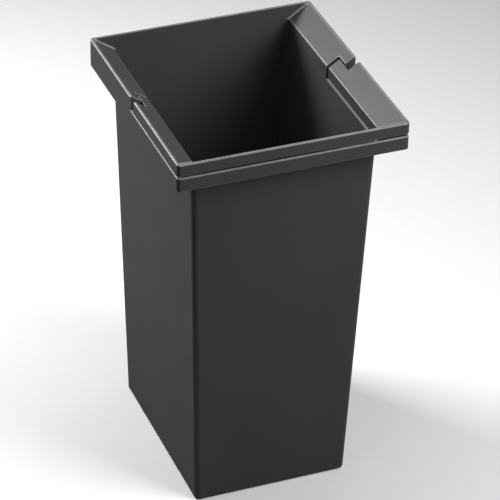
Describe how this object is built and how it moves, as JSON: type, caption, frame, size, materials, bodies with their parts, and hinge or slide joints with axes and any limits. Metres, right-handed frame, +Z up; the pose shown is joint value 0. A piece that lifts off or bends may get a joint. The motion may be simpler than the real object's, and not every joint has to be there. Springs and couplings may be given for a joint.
{
  "type": "pull-out waste bin bucket with bail handle",
  "caption": "Deep tapered rectangular waste bucket with a funnel-shaped hanging rim and a U-shaped bail handle lying flush in the rim's lowered front half.",
  "frame": {"origin": "middle of the rim's footprint, on the surface the bin stands on", "axes": "+Z up, -Y towards the front where the handle's grip lies, +X to the right seen from the front"},
  "size_m": [0.25, 0.27, 0.455],
  "materials": {
    "bucket_plastic": "satin anthracite polypropylene with a fine even texture",
    "handle_plastic": "satin anthracite polypropylene with a fine even texture"
  },
  "bodies": {
    "bucket": {"bin_bucket": "bucket_plastic"},
    "handle": {"bail_handle": "handle_plastic"}
  },
  "joints": [
    {"name": "handle_hinge", "type": "hinge", "parent": "bucket", "child": "handle", "pos_m": [0, 0.015, 0.441], "axis": [-1, 0, 0], "range_deg": [0, 105]}
  ]
}
